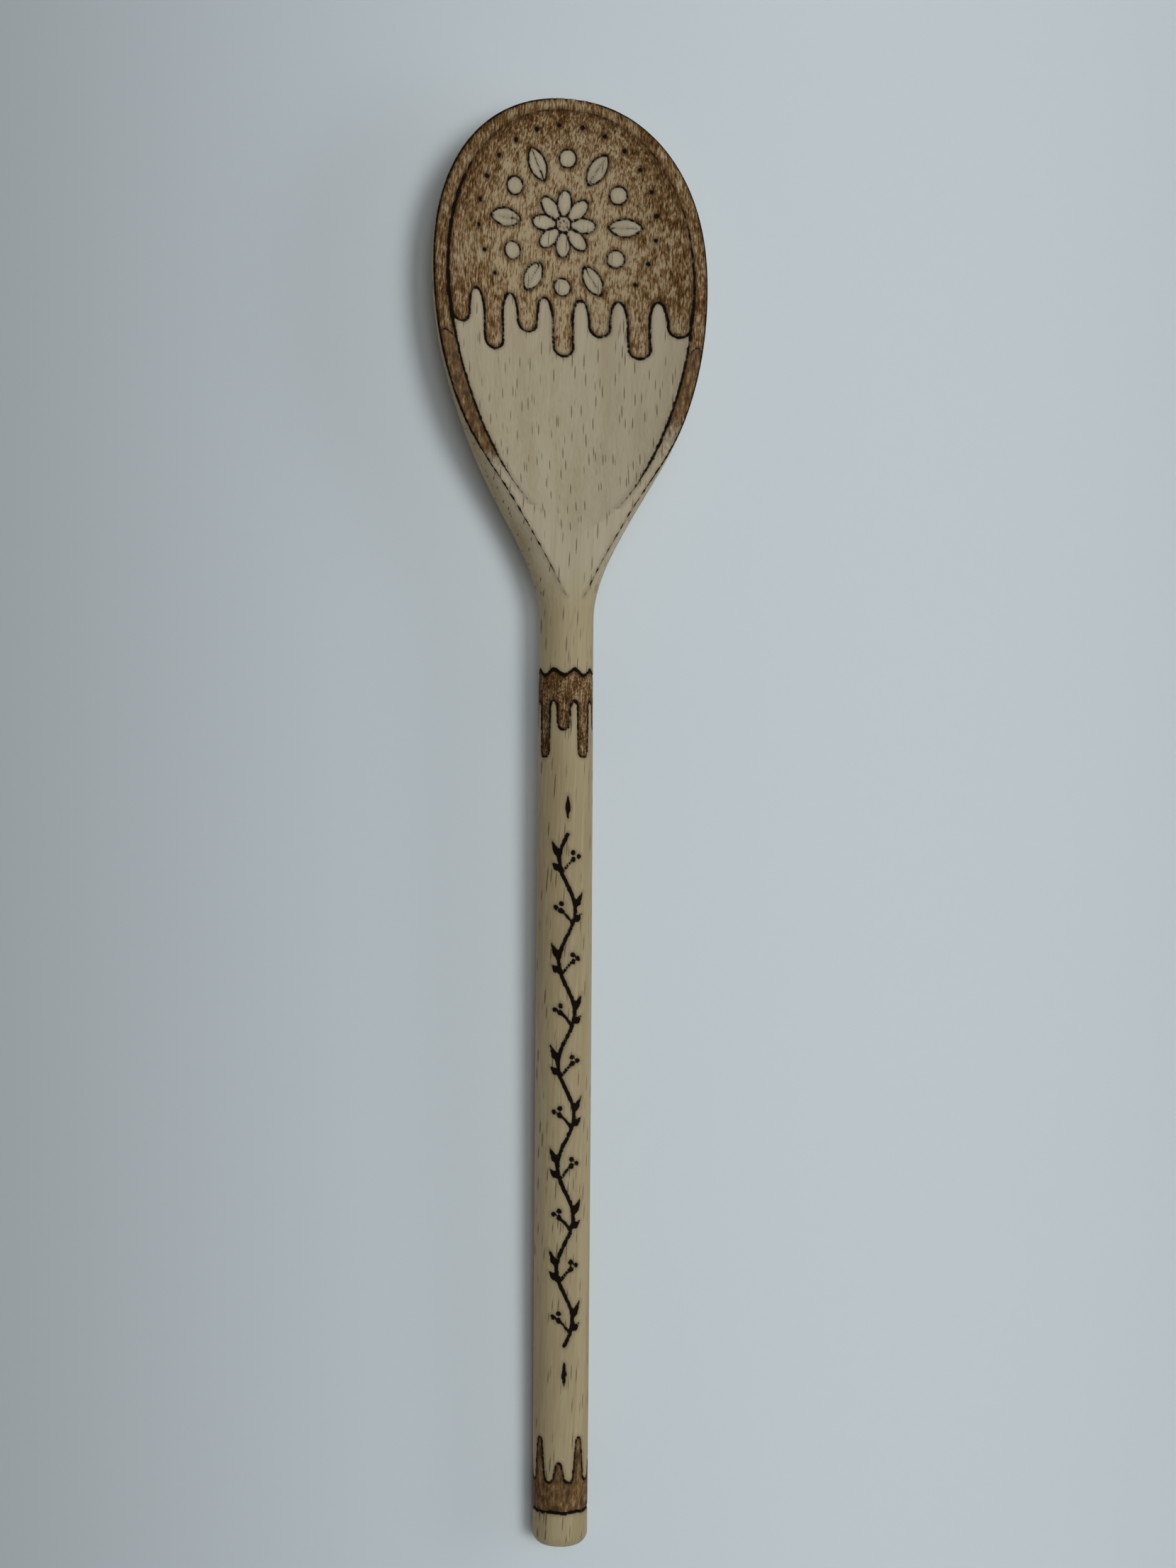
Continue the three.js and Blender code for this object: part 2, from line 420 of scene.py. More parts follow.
RIM_WASH_THIN = 9.0      # the right side is browned less far down
RIM_WASH_TOP = 4.0       # the wash runs this far under the mottling
RIM_LINE_END = 214.0
RIM_LINE_FULL = 228.0
RIM_LINE_CHANGE = 250    # thin beside the bare wood, and as below beside the browned wood
RIM_LINE_GROWS = (244, 252)
RIM_LINE_THIN = 0.26
RIM_LINE_FAINT = 0.02
RIM_LINE_LEFT = 0.42
RIM_LINE_RIGHT = 0.26
RIM_LINE_WOBBLE = 0.08
TO_RIM_FORWARD = 27.0    # a reach of the hollow, in millimetres, towards the tip
TO_RIM_BACK = 24.0       # and towards the neck


def round_rosette(reach, share):
    """The place at a reach from the rosette's centre, a share of the way round it."""
    turn = 2 * math.pi * share
    return ROSETTE_CENTRE[0] + reach * math.sin(turn), ROSETTE_CENTRE[1] - reach * math.cos(turn)


def rosette_parts(x, y):
    """The heart and the petals."""
    parts = [disc(x, y, ROSETTE_CENTRE, HEART_RADIUS)]
    for i in range(PETALS):
        outwards = 2 * math.pi * i / PETALS - math.pi / 2
        parts.append(ellipse(x, y, round_rosette(PETAL_MIDDLE, i / PETALS), PETAL_RADII, outwards))
    return parts


def wreath_parts(x, y):
    """Discs and leaves in turn, evenly spaced round the rosette."""
    parts = []
    for i in range(WREATH_PLACES):
        share = i / WREATH_PLACES
        if i % 2 == 0:
            parts.append(disc(x, y, round_rosette(WREATH_DISC_MIDDLE, share), WREATH_DISC_RADIUS))
        else:
            root, tip = [round_rosette(reach, share) for reach in WREATH_LEAF_ENDS]
            parts.append(pointed_oval(x, y, root, tip, WREATH_LEAF_HALF_WIDTH))
    return parts


def ornament_shape(x, y):
    """Everything in the browned area that stays bare wood."""
    return np.maximum.reduce(rosette_parts(x, y) + wreath_parts(x, y))


def ornament_lines(x, y):
    """The outlines, the ribs of the leaves and the dots."""
    ink = np.full(x.shape, -FAR)
    for part in rosette_parts(x, y) + wreath_parts(x, y):
        ink = either(ink, ORNAMENT_PEN - np.abs(part + ORNAMENT_PEN_INSET))
    for i in range(1, WREATH_PLACES, 2):
        root, tip = [round_rosette(reach, i / WREATH_PLACES) for reach in WREATH_LEAF_ENDS]
        ink = either(ink, drop(x, y, root, tip, *RIB_RADII))
    for i in range(HEART_DOTS):
        place = round_rosette(HEART_DOT_RING, i / HEART_DOTS)
        ink = either(ink, disc(x, y, place, HEART_DOT_RADIUS))
    for i in range(DOTS):
        place = round_rosette(DOT_RING, (i + 0.5) / DOTS)
        if place[1] > DRIP_BASE + DRIP_WAVE + DOT_CLEARANCE:
            ink = either(ink, disc(x, y, place, DOT_RADIUS))
    return ink


def drips_shape(x, y):
    """Everything beyond a waving line, with a drip hanging from each of its low places."""
    turn = 2 * math.pi * x / DRIP_PITCH
    slope = 2 * math.pi * DRIP_WAVE / DRIP_PITCH * np.sin(turn)
    shape = (y - DRIP_BASE + DRIP_WAVE * np.cos(turn)) / np.hypot(1, slope)
    for i in range(-DRIPS_EACH_SIDE, DRIPS_EACH_SIDE + 1):
        end = (i * DRIP_PITCH, DRIP_ENDS[i % 2] + DRIP_HALF_WIDTH)
        start = (i * DRIP_PITCH, DRIP_BASE)
        shape = either(shape, drop(x, y, start, end, DRIP_HALF_WIDTH, DRIP_HALF_WIDTH), DRIP_FILLET)
    return shape


def rim_brown_shape(x, y):
    """The mottling on the rim, which ends in a small arch on both sides."""
    share = np.clip((np.abs(x) - half_width(y) + RIM_WIDTH) / RIM_WIDTH, 0, 1)
    return y - RIM_BROWN_END - RIM_ARCH_HEIGHT * np.sin(np.pi * share)


def rim_line(x, y):
    """The burnt line along the hollow's edge: strong on the left, faint at the tip."""
    to_millimetres = np.where(y > HOLLOW_WIDEST, TO_RIM_FORWARD, TO_RIM_BACK)
    from_edge = np.abs(hollow_reach(x, y) - 1) * to_millimetres
    grown = rise(y, *RIM_LINE_GROWS)
    left = rise(-x, 8, 20) * grown * fall(y, 276, 290)
    right = rise(x, 14, 24) * grown * fall(y, 262, 286)
    by_bare_wood = RIM_LINE_THIN * rise(y, RIM_LINE_END, RIM_LINE_FULL)
    by_browned = RIM_LINE_FAINT + RIM_LINE_LEFT * left + RIM_LINE_RIGHT * right
    wide = np.where(y < RIM_LINE_CHANGE, by_bare_wood, by_browned)
    wide = wide + RIM_LINE_WOBBLE * np.sin(y * 1.7 + x) * grown
    return np.where(y > RIM_LINE_END, wide - from_edge, -FAR)


def face_drawing(x, y):
    """(browned, inked, wash) on the face, at across x and station y."""
    on_rim = hollow_reach(x, y) > RIM_STARTS
    drips = drips_shape(x, y)
    rim_brown = rim_brown_shape(x, y)
    area = np.where(on_rim, rim_brown, drips)
    area = np.minimum(area, -ornament_shape(x, y))
    drip_line = DRIP_PEN + 0.04 * np.sin(x * 1.9 + y)
    ink = np.where(on_rim, RIM_BROWN_PEN - np.abs(rim_brown), drip_line - np.abs(drips))
    ink = either(ink, ornament_lines(x, y))
    ink = either(ink, rim_line(x, y))
    full = RIM_WASH_FULL + 2 * RIM_WASH_THIN * (x > 0)
    wash = on_rim * rise(y, RIM_WASH_END, full) * (y < RIM_BROWN_END + RIM_WASH_TOP)
    return area, ink, wash


# ---------------------------------------------------------- the drawing on the handle

HANDLE_PLACES = 8        # drips, lobes and flames stand at even places round the handle
LOBE_HEIGHT = 0.6
NECK_BAND_TOP = 179.9
NECK_BAND_LINE = 174.0
NECK_DRIP_ENDS = (162.4, 168.0)      # lowest stations, in turn
NECK_DRIP_RADII = (1.5, 1.2)         # where a drip leaves the band and at its end
RING_STATION = 7.5
FLAME_LINE = 13.6
FLAME_ENDS = (22.6, 17.6)            # highest stations, in turn
FLAME_RADII = (1.5, 0.6)
BAND_FILLET = 1.1
VINE_ROUND = -1.2        # the ornament runs beside the handle's top line
VINE_START = 41.5
VINE_BEND = 10.5         # along the handle, from one bend to the next
VINE_BENDS = 10
VINE_SWING = 1.7
LEAF_RADIUS = 0.78
BERRY_RADIUS = 0.58
BERRIES = [(-1.3, 0.6), (-2.4, 1.3), (-1.2, 2.0)]
BUD_LENGTH = 4.6
BUD_RADIUS = 0.6
BUD_TIP = 0.2
BUD_GAPS = (5.8, 5.6)    # from the vine's ends to the middles of the buds
STEM_PEN = 0.43
STALK_PENS = (0.34, 0.30)
BAND_PEN = 0.26          # the band by the neck has a heavier upper edge
BAND_PEN_HEAVIER = 0.20
BAND_PEN_GROWS = (177, 179)
RING_PEN = 0.36


def round_handle(x, y, base, ends, radii):
    """Bars along the handle at its even places, from a base station to two ends in turn."""
    pitch = 2 * math.pi * HANDLE_RADIUS / HANDLE_PLACES
    shape = np.full(x.shape, -FAR)
    for i in range(HANDLE_PLACES):
        across = (i + 0.5 - HANDLE_PLACES / 2) * pitch
        end = ends[i % 2]
        tip = end + radii[1] * (1 if end < base else -1)
        shape = either(shape, drop(x, y, (across, base), (across, tip), radii[0], radii[1]))
    return shape


def neck_band(x, y):
    top = NECK_BAND_TOP + LOBE_HEIGHT * np.cos(HANDLE_PLACES * x / HANDLE_RADIUS)
    hanging = round_handle(x, y, NECK_BAND_LINE + 1, NECK_DRIP_ENDS, NECK_DRIP_RADII)
    return np.minimum(either(y - NECK_BAND_LINE, hanging, BAND_FILLET), top - y)


def end_band(x, y):
    standing = round_handle(x, y, FLAME_LINE - 1, FLAME_ENDS, FLAME_RADII)
    return np.minimum(either(FLAME_LINE - y, standing, BAND_FILLET), y - RING_STATION)


def bud(x, y, middle):
    """A small closed bud along the handle, drawn solid."""
    half = BUD_LENGTH / 2
    up = drop(x, y, (0, middle), (0, middle + half), BUD_RADIUS, BUD_TIP)
    return either(up, drop(x, y, (0, middle), (0, middle - half), BUD_RADIUS, BUD_TIP))


def leaf(x, y, root, tip):
    """A pointed leaf, widest near its root."""
    belly = (0.6 * root[0] + 0.4 * tip[0], 0.6 * root[1] + 0.4 * tip[1])
    return either(drop(x, y, root, belly, 0.2, LEAF_RADIUS), drop(x, y, belly, tip, LEAF_RADIUS, 0.12))


def vine(x, y):
    """The running ornament: a waving stem with leaves outside and berries inside every bend."""
    x = x - VINE_ROUND
    end = VINE_START + VINE_BEND * VINE_BENDS
    along = np.linspace(VINE_START, end, VINE_BENDS * 10 + 1)
    swing = VINE_SWING * np.sin(np.pi * (along - VINE_START) / VINE_BEND)
    ink = line(x, y, np.stack([swing, along], 1), STEM_PEN)
    for bend in range(VINE_BENDS):
        side = 1 if bend % 2 == 0 else -1
        middle = VINE_START + VINE_BEND * (bend + 0.5)
        ink = either(ink, leaf(x, y, (side * 1.6, middle + 0.3), (side * 3.4, middle + 3.9)))
        ink = either(ink, leaf(x, y, (side * 1.5, middle - 2.2), (side * 3.3, middle - 0.6)))
        stalk = [(side * 1.2, middle - 2.8), (side * 0.2, middle - 1.4), (side * -0.9, middle - 0.2)]
        ink = either(ink, line(x, y, smooth_curve(stalk), *STALK_PENS))
        for across, up in BERRIES:
            ink = either(ink, disc(x, y, (side * across, middle + up - 0.6), BERRY_RADIUS))
    for middle in (VINE_START - BUD_GAPS[0], end + BUD_GAPS[1]):
        ink = either(ink, bud(x, y, middle))
    return ink


def handle_drawing(x, y):
    """(browned, inked, wash) on the handle, at round x and station y."""
    neck = neck_band(x, y)
    end = end_band(x, y)
    neck_pen = BAND_PEN + BAND_PEN_HEAVIER * rise(y, *BAND_PEN_GROWS)
    ink = either(neck_pen - np.abs(neck), BAND_PEN - np.abs(end))
    wobble = 0.12 * np.sin(x * 1.3) + 0.08 * np.sin(x * 2.9 + 1)
    ink = either(ink, RING_PEN - np.abs(y - RING_STATION - wobble))
    return neck, either(ink, vine(x, y)), rise(end, -0.15, 0.15)


# ----------------------------------------------------------------- the wooden spoon

EDGE_STARTS = 195.5      # station where the face gets its sharp edge
EDGE_POINTS = 600
NEAR_EDGE = 192          # stations below this are never near it
POINTS_AT_ONCE = 2000
FACES_UP = 0.2           # the least upward part of a normal on the face
FACE_TOLERANCE = 0.3
EDGE_PEN_NECK = 0.03     # the line on the sharp edge starts thin and grows twice
EDGE_PEN_GROWTHS = [(0.12, 194, 204), (0.26, 208, 240)]
EDGE_PEN_WOBBLE = 0.08
LINE_DEPTH = 0.16        # how far the burning is sunk into the wood
BROWNED_DEPTH = 0.05

# What each thing adds to how dark the browning is.
TONE_MIDDLE = -0.16
TONE_RIGHT = 0.46
TONE_LEFT = 0.40
TONE_BY_DRIPS = 0.18
TONE_TIP = 0.36
TONE_ON_RIM = 0.12
TONE_BY_RIM = 0.42
TONE_BY_RIM_REACH = 5.0
TONE_BY_ORNAMENT = 0.16
TONE_BY_ORNAMENT_REACH = 1.7
TONE_SIDES = (8, 22)     # across, from the middle to full darkness at a side
HOLLOW_SIZE = 26         # a reach of the hollow in millimetres, on average
TONE_HANDLE = 0.66
# Painted highlight: the browning on the handle is made lighter on its right side, where the light falls.
TONE_HANDLE_PAINTED_HIGHLIGHT = -0.16


def rim_edge():
    """Points along the sharp outer edge of the face, in the drawing frame."""
    stations = np.linspace(EDGE_STARTS, LENGTH - 0.02, EDGE_POINTS)
    width = half_width(stations) * np.cos(edge_angle(stations))
    right = np.stack([width, stations, face_height(stations)], 1)
    return np.concatenate([right, right[::-1] * [-1, 1, 1]])


def edge_distance(points):
    """Distance of each point from the sharp edge of the face, or FAR well away from it."""
    edge = rim_edge()
    result = np.full(len(points), FAR)
    near = np.where(points[:, 1] > NEAR_EDGE)[0]
    for part in np.array_split(near, max(1, len(near) // POINTS_AT_ONCE)):
        gaps = points[part][:, None, :] - edge[None, :, :]
        result[part] = np.sqrt((gaps ** 2).sum(2).min(1))
    return result


def edge_line(points):
    """The burnt line on the sharp edge of the face."""
    y = points[:, 1]
    pen = EDGE_PEN_NECK
    for growth, start, end in EDGE_PEN_GROWTHS:
        pen = pen + growth * rise(y, start, end)
    wobble = EDGE_PEN_WOBBLE * np.sin(y * 2.6) * fall(y, 215, 250)
    return pen - edge_distance(points) + wobble


def tone_at(x, y):
    """How dark the browning is: darker at both sides, at the tip, by the rim and the ornament; on the
    handle it is lightened on its right side, a painted highlight where the light falls.
    """
    inside_rim = (1 - hollow_reach(x, y)) * HOLLOW_SIZE
    by_rim = np.exp(-(np.clip(inside_rim, 0, None) / TONE_BY_RIM_REACH) ** 2) * (inside_rim > 0)
    ornament_gap = np.clip(-ornament_shape(x, y), 0, None)
    tone = TONE_MIDDLE + TONE_RIGHT * rise(x, *TONE_SIDES) * rise(y, 244, 262)
    tone = tone + TONE_BY_DRIPS * fall(y, 258, 266)
    tone = tone + TONE_LEFT * rise(-x, *TONE_SIDES)
    tone = tone + TONE_TIP * rise(y, 282, 298)
    tone = tone + TONE_ON_RIM * (inside_rim < 0)
    tone = tone + TONE_BY_RIM * by_rim * rise(y, 262, 284)
    tone = tone + TONE_BY_ORNAMENT * np.exp(-(ornament_gap / TONE_BY_ORNAMENT_REACH) ** 2)
    # Painted highlight: the handle's browning is lighter towards its right side, facing the light.
    handle_tone = TONE_HANDLE + TONE_HANDLE_PAINTED_HIGHLIGHT * rise(x, -3, 2)
    return np.where(y < NECK_START, handle_tone, np.clip(tone, 0, 1))


def drawing_at(points, normals):
    """The attributes of the drawing for every point of the wood."""
    x, y, z = points.T
    around = np.arctan2(x, z) * HANDLE_RADIUS
    handle = y < NECK_START
    above_hollow = z > face_height(y) - hollow_depth(x, y) - FACE_TOLERANCE
    face = ~handle & (normals[:, 2] > FACES_UP) & above_hollow
    area = np.full(len(x), -FAR)
    ink = np.full(len(x), -FAR)
    wash = np.zeros(len(x))
    area[handle], ink[handle], wash[handle] = handle_drawing(around[handle], y[handle])
    area[face], ink[face], wash[face] = face_drawing(x[face], y[face])
    ink = np.maximum(ink, edge_line(points))
    turned = 1 - rise(normals[:, 2], FACES_UP, 0.6) * rise(y, 192, 204) * (y >= NECK_START)
    return {"area": area, "ink": ink, "wash": wash, "tone": tone_at(x, y), "turned": turned}


def groove(drawing):
    """How far the wood is burnt in, in millimetres."""
    deep = LINE_DEPTH * rise(drawing["ink"], -0.25, 0.3)
    wide = BROWNED_DEPTH * rise(drawing["area"], -0.2, 0.5)
    return deep + wide


def burnt(rings):
    """The points of the rings, sunk where they are burnt, and the drawing's attributes."""
    points = rings.reshape(-1, 3)
    normals = surface_normals(rings).reshape(-1, 3)
    drawing = drawing_at(points, normals)
    return points - normals * groove(drawing)[:, None], drawing


def wood_faces(handle_rows, bowl_rows):
    """Both grids, the join between them, and a fan that closes each end."""
    top, back = TOP_COLUMNS // HANDLE_SHARE, BACK_COLUMNS // HANDLE_BACK_SHARE
    narrow = top + back
    wide = TOP_COLUMNS + BACK_COLUMNS
    bowl_first = handle_rows * narrow
    butt_point = bowl_first + bowl_rows * wide
    tip_point = butt_point + 1
    faces = grid_faces(0, handle_rows, narrow) + grid_faces(bowl_first, bowl_rows, wide)
    faces += fan_faces(butt_point, list(range(narrow)), True)
    faces += fan_faces(tip_point, list(range(butt_point - wide, butt_point)), False)
    coarse = list(range(bowl_first - narrow, bowl_first))
    fine = list(range(bowl_first, bowl_first + wide))
    faces += stitch_faces(coarse, fine, [HANDLE_SHARE] * top + [HANDLE_BACK_SHARE] * back)
    return faces


def build_spoon():
    handle, bowl = wood_rings()
    handle_points, handle_drawing_there = burnt(handle)
    bowl_points, bowl_drawing_there = burnt(bowl)
    ends = np.array([[0, 0, 0], [0, LENGTH, float(widest_height(LENGTH))]])
    points = np.concatenate([handle_points, bowl_points, ends])
    mesh = bpy.data.meshes.new("spoon_wood")
    mesh.from_pydata(to_frame(points).tolist(), [], wood_faces(len(handle), len(bowl)))
    for name in handle_drawing_there:
        at_ends = [-FAR, -FAR] if name in ("area", "ink") else [0, 0]
        values = np.concatenate([handle_drawing_there[name], bowl_drawing_there[name], at_ends])
        layer = mesh.attributes.new(name, "FLOAT", "POINT")
        layer.data.foreach_set("value", values.astype(np.float32))
    mesh.polygons.foreach_set("use_smooth", [True] * len(mesh.polygons))
    mesh.update()
    spoon = bpy.data.objects.new("carved_spoon", mesh)
    bpy.context.collection.objects.link(spoon)
    return spoon


def to_frame(points):
    """From the drawing frame, in millimetres, to the row frame, in metres."""
    c, s = math.cos(TILT), math.sin(TILT)
    x, y, z = points.T
    return np.stack([x, BUTT[1] + y * c - z * s, BUTT[2] + y * s + z * c], 1) * MM


# ------------------------------------------------------------------------ materials

class Nodes:
    """A few short words for building a node tree."""

    def __init__(self, material):
        material.use_nodes = True
        self.tree = material.node_tree
        self.tree.nodes.clear()

    def add(self, kind, **inputs):
        node = self.tree.nodes.new(kind)
        for name, value in inputs.items():
            self.put(node.inputs[name.replace("_", " ")], value)
        return node

    def put(self, socket, value):
        if isinstance(value, bpy.types.NodeSocket):
            self.tree.links.new(value, socket)
        else:
            socket.default_value = value

    def maths(self, operation, *values):
        node = self.tree.nodes.new("ShaderNodeMath")
        node.operation = operation
        for socket, value in zip(node.inputs, values):
            self.put(socket, value)
        return node.outputs[0]

    def ramp(self, value, low, high, to_low=0.0, to_high=1.0):
        """A smooth step of value between low and high."""
        node = self.tree.nodes.new("ShaderNodeMapRange")
        node.interpolation_type = "SMOOTHSTEP"
        for socket, given in zip(node.inputs, (value, low, high, to_low, to_high)):
            self.put(socket, given)
        return node.outputs[0]

    def mix(self, share, a, b):
        node = self.tree.nodes.new("ShaderNodeMix")
        node.data_type = "RGBA"
        self.put(node.inputs[0], share)
        self.put(node.inputs[6], a)
        self.put(node.inputs[7], b)
        return node.outputs[2]

    def blend(self, share, a, b):
        """a where share is 0, b where it is 1."""
        return self.maths("MULTIPLY_ADD", share, self.maths("SUBTRACT", b, a), a)

    def attribute(self, name):
        node = self.tree.nodes.new("ShaderNodeAttribute")
        node.attribute_name = name
        return node.outputs["Fac"]

    def stretched(self, across, along, deep=None):
        """The object's own coordinates, counted in cells of that size in millimetres."""
        coordinates = self.add("ShaderNodeTexCoord")
        mapping = self.add("ShaderNodeMapping")
        self.put(mapping.inputs["Vector"], coordinates.outputs["Object"])
        mapping.vector_type = "TEXTURE"
        mapping.inputs["Rotation"].default_value = (0, 0, -GRAIN_LEAN)
        mapping.inputs["Scale"].default_value = (across * MM, along * MM, (deep or across) * MM)
        return mapping.outputs[0]

    def noise(self, across, along, detail, rough):
        """Noise whose cells have that size in millimetres."""
        node = self.tree.nodes.new("ShaderNodeTexNoise")
        self.put(node.inputs["Vector"], self.stretched(across, along))
        node.inputs["Scale"].default_value = 1.0
        node.inputs["Detail"].default_value = detail
        node.inputs["Roughness"].default_value = rough
        return node.outputs["Fac"]

    def swing(self, noise, amount, start=0.0):
        """start, moved up and down by a noise that runs about one half."""
        return self.maths("MULTIPLY_ADD", self.maths("SUBTRACT", noise, 0.5), amount, start)


def colour(red, green, blue):
    return (red, green, blue, 1.0)


PALE_WOOD = colour(0.57, 0.448, 0.300)
WARM_WOOD = colour(0.485, 0.367, 0.232)
PALE_TURNED = colour(0.52, 0.39, 0.220)
WARM_TURNED = colour(0.42, 0.30, 0.156)
FLECK = colour(0.185, 0.120, 0.062)
TAN = colour(0.50, 0.355, 0.205)
BROWN = colour(0.215, 0.106, 0.038)
DARK_BROWN = colour(0.060, 0.024, 0.007)
INK = colour(0.010, 0.005, 0.003)
GRAIN_LEAN = math.radians(3)


def wood_colour(n):
    """Pale beech: soft bands and fine streaks along the grain, and short dark flecks."""
    bands = n.noise(6.0, 90.0, 3.0, 0.55)
    streaks = n.noise(0.5, 16.0, 3.0, 0.6)
    tone = n.maths("ADD", n.maths("MULTIPLY", bands, 0.6), n.maths("MULTIPLY", streaks, 0.4))
    warmth = n.ramp(tone, 0.38, 0.64)
    flat_wood = n.mix(warmth, PALE_WOOD, WARM_WOOD)
    turned_wood = n.mix(warmth, PALE_TURNED, WARM_TURNED)
    base = n.mix(n.attribute("turned"), flat_wood, turned_wood)
    fleck = fleck_mask(n)
    return n.mix(n.maths("MULTIPLY", fleck, 0.90), base, FLECK), fleck, streaks


def fleck_mask(n):
    """Beech's short dashes: a few of the cells of a stretched cell pattern."""
    cells = n.tree.nodes.new("ShaderNodeTexVoronoi")
    n.put(cells.inputs["Vector"], n.stretched(0.50, 6.6, 1.5))
    cells.inputs["Scale"].default_value = 1.0
    cells.inputs["Randomness"].default_value = 1.0
    split = n.tree.nodes.new("ShaderNodeSeparateColor")
    n.put(split.inputs[0], cells.outputs["Color"])
    chosen = n.ramp(split.outputs[0], 0.46, 0.54)
    round_spot = n.ramp(cells.outputs["Distance"], 0.34, 0.16)
    return n.maths("MULTIPLY", chosen, round_spot)


def stipple_share(n, tone):
    """The mottled browning, from 0 light to 1 dark: dabs of the pen, drawn out along the grain."""
    long_dabs = n.noise(0.40, 1.25, 2.0, 0.6)
    round_dabs = n.noise(0.42, 0.55, 2.0, 0.6)
    dabs = n.blend(n.attribute("turned"), long_dabs, round_dabs)
    patches = n.noise(2.2, 3.4, 3.0, 0.6)
    hatch = n.noise(0.26, 2.6, 1.0, 0.5)
    mixed = n.swing(dabs, 2.7)
    mixed = n.swing(patches, 2.0, mixed)
    mixed = n.swing(hatch, 2.0, mixed)
    return n.maths("ADD", mixed, tone), dabs


def browned_colour(n, share):
    light_brown = n.mix(n.ramp(share, -0.35, 0.6), TAN, BROWN)
    return n.mix(n.ramp(share, 0.35, 1.25), light_brown, DARK_BROWN)


def charred(n, wood):
    """The wood under the drawing: (colour, how browned, how washed, how inked, dabs of the pen)."""
    area, ink = n.attribute("area"), n.attribute("ink")
    wash, tone = n.attribute("wash"), n.attribute("tone")
    browned = n.ramp(n.swing(n.noise(0.8, 1.1, 2.0, 0.6), 0.5, area), -0.10, 0.12)
    share, dabs = stipple_share(n, tone)
    stippled = browned_colour(n, share)

    washed_brown = browned_colour(n, n.swing(n.noise(0.8, 2.4, 3.0, 0.65), 3.2, 0.72))
    faded = n.ramp(n.swing(dabs, 0.8, wash), 0.1, 0.6)
    washed = n.mix(n.maths("MULTIPLY", faded, 0.95), wood, washed_brown)
    surface = n.mix(browned, washed, stippled)

    toast_here = n.maths("MULTIPLY_ADD", browned, 0.35, 0.25)
    toast = n.maths("MULTIPLY", n.ramp(ink, -0.9, 0.1), toast_here)
    surface = n.mix(toast, surface, DARK_BROWN)
    inked = n.ramp(n.swing(n.noise(0.9, 0.9, 1.0, 0.5), 0.45, ink), -0.12, 0.14)
    return n.mix(inked, surface, INK), browned, faded, inked, dabs


def grain_bump(n, fleck, browned, dabs):
    """Fine grain, with the flecks and the dabs of the pen a little sunk."""
    height = n.maths("MULTIPLY", n.noise(0.12, 2.2, 3.0, 0.6), 0.35)
    height = n.maths("MULTIPLY_ADD", fleck, -0.35, height)
    height = n.maths("MULTIPLY_ADD", n.maths("MULTIPLY", browned, dabs), -0.9, height)
    return n.add("ShaderNodeBump", Height=height, Strength=0.35, Distance=0.00025)


def beech_material():
    material = bpy.data.materials.new("burnt_beech")
    n = Nodes(material)
    wood, fleck, streaks = wood_colour(n)
    surface, browned, faded, inked, dabs = charred(n, wood)

    rough = n.ramp(streaks, 0.3, 0.7, 0.50, 0.60)
    rough = n.maths("MULTIPLY_ADD", n.maths("MAXIMUM", browned, inked), 0.20, rough)
    burnt_share = n.maths("MAXIMUM", browned, n.maths("MAXIMUM", faded, inked))
    sheen = n.maths("MULTIPLY_ADD", burnt_share, -0.15, 0.20)

    shader = n.add("ShaderNodeBsdfPrincipled", Base_Color=surface, Roughness=rough)
    n.put(shader.inputs["Specular IOR Level"], sheen)
    n.put(shader.inputs["Normal"], grain_bump(n, fleck, browned, dabs).outputs[0])
    output = n.add("ShaderNodeOutputMaterial")
    n.put(output.inputs["Surface"], shader.outputs[0])
    return material


# --------------------------------------------------------------- stage and camera

FLOOR_HALF = 1.6         # metres
SHEET = colour(0.80, 0.80, 0.80)
LAMPS_STATION = 0.06     # metres along the spoon, near its middle
LAMP_COLOUR = (0.85, 0.955, 1.0)
ROOM_COLOUR = colour(0.82, 0.91, 1.0)
ROOM_STRENGTH = 0.10
CAMERA_LONG_SIDE = 36.0  # of the sensor, in millimetres
CAMERA_FOCAL_SHARE = 1.502
CAMERA_PLACE = (-155.2, -11.8, 473.8)    # millimetres
CAMERA_TURN = (2.18, -19.01, 0.04)       # degrees


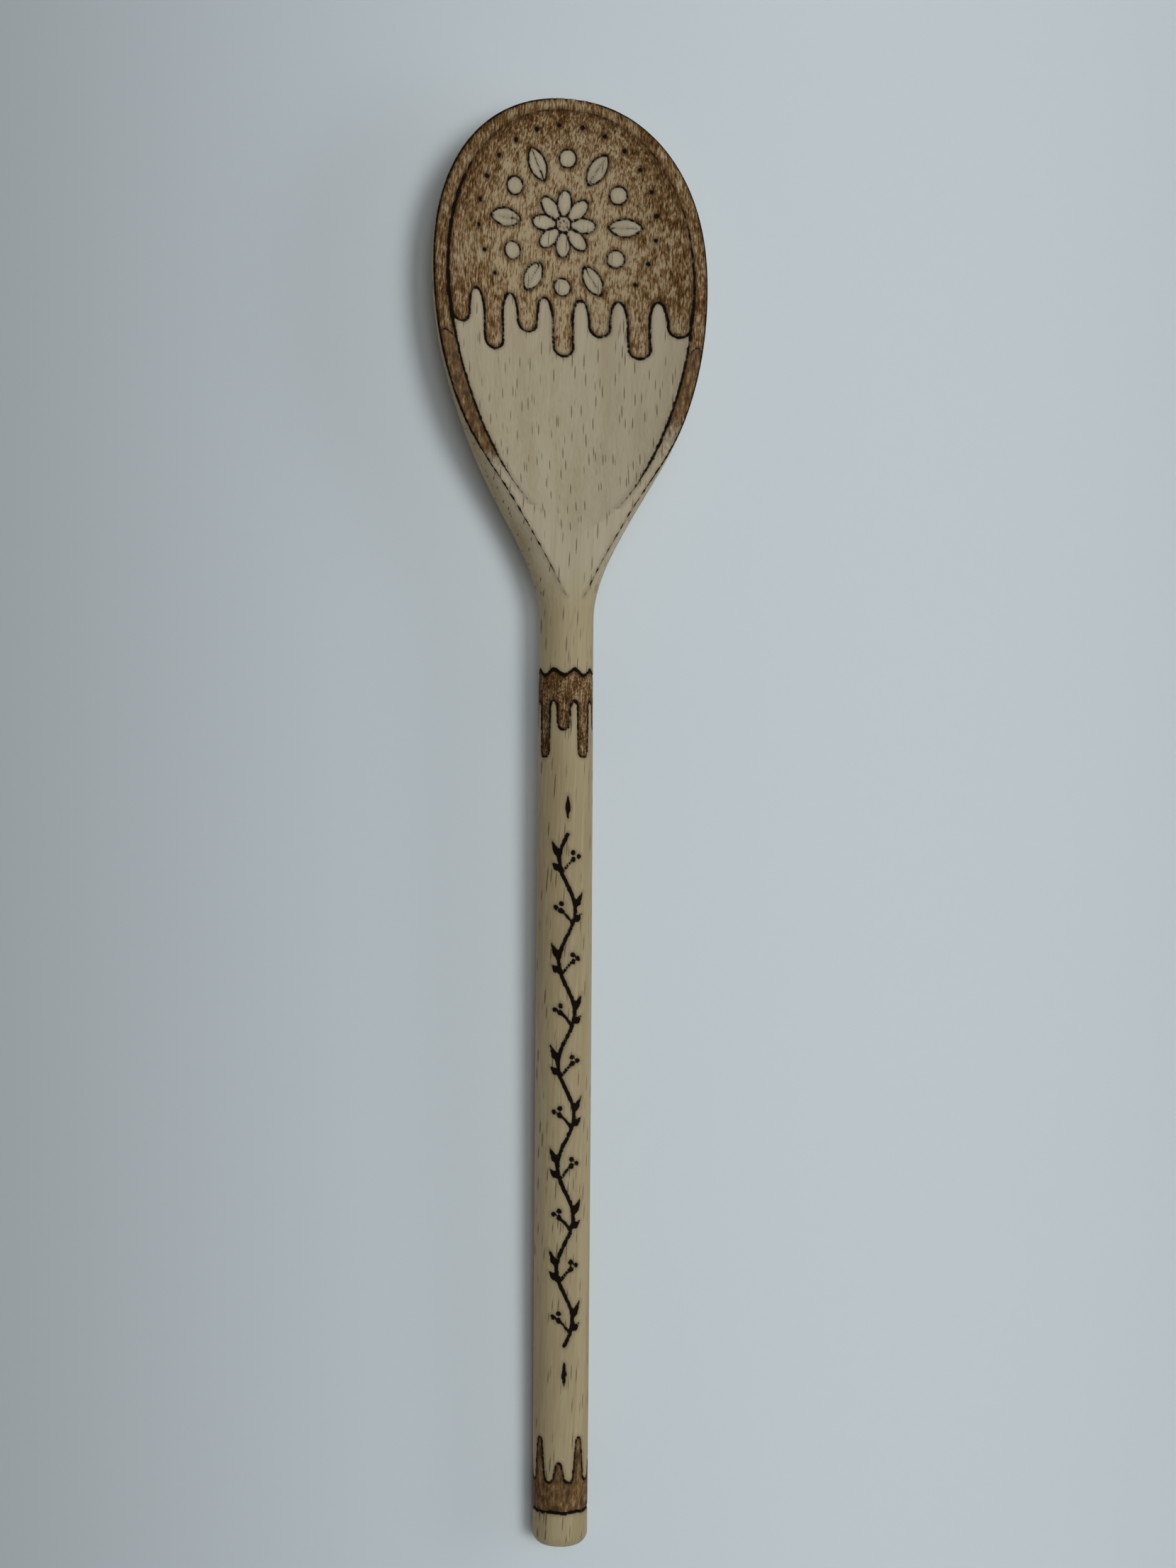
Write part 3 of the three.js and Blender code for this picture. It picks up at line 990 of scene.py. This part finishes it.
def build_floor():
    half = FLOOR_HALF
    mesh = bpy.data.meshes.new("floor")
    corners = [(-half, -half, 0), (half, -half, 0), (half, half, 0), (-half, half, 0)]
    mesh.from_pydata(corners, [], [(0, 1, 2, 3)])
    floor = bpy.data.objects.new("floor", mesh)
    bpy.context.collection.objects.link(floor)
    material = bpy.data.materials.new("pale_sheet")
    n = Nodes(material)
    shader = n.add("ShaderNodeBsdfPrincipled", Base_Color=SHEET, Roughness=0.8)
    output = n.add("ShaderNodeOutputMaterial")
    n.put(output.inputs["Surface"], shader.outputs[0])
    mesh.materials.append(material)


def add_softbox(name, across, height, aim, size, energy, spread=180):
    """A rectangular lamp along the spoon, turned towards the sheet at `aim` across; metres and watts."""
    data = bpy.data.lights.new(name, "AREA")
    data.shape = "RECTANGLE"
    data.size, data.size_y = size
    data.energy = energy
    data.spread = math.radians(spread)
    data.color = LAMP_COLOUR
    light = bpy.data.objects.new(name, data)
    light.location = (across, LAMPS_STATION, height)
    light.rotation_euler = (0, math.atan2(across - aim, height), 0)
    light.visible_camera = False
    bpy.context.collection.objects.link(light)


def build_lights():
    """A wide soft light overhead, a farther one at each side, and a dim cool room."""
    add_softbox("overhead", 0.145, 0.50, 0.082, (0.34, 0.90), 0.425, 40)
    add_softbox("high_left", -0.249, 1.174, 0.0, (0.30, 0.90), 2.2)
    add_softbox("low_right", 1.088, 0.507, 0.0, (0.30, 0.90), 1.95)
    world = bpy.data.worlds.new("room")
    world.use_nodes = True
    background = world.node_tree.nodes["Background"]
    background.inputs["Color"].default_value = ROOM_COLOUR
    background.inputs["Strength"].default_value = ROOM_STRENGTH
    bpy.context.scene.world = world


def build_camera():
    """A lens of normal length above the spoon's left side, leaning towards it."""
    data = bpy.data.cameras.new("camera")
    data.sensor_width = CAMERA_LONG_SIDE
    data.lens = CAMERA_LONG_SIDE * CAMERA_FOCAL_SHARE
    camera = bpy.data.objects.new("camera", data)
    camera.location = Vector(CAMERA_PLACE) * MM
    camera.rotation_euler = [math.radians(angle) for angle in CAMERA_TURN]
    bpy.context.collection.objects.link(camera)
    bpy.context.scene.camera = camera


spoon = build_spoon()
spoon.data.materials.append(beech_material())
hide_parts("spoon")
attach(spoon, "root")

build_floor()
build_lights()
build_camera()
bpy.context.scene.view_settings.view_transform = "Standard"
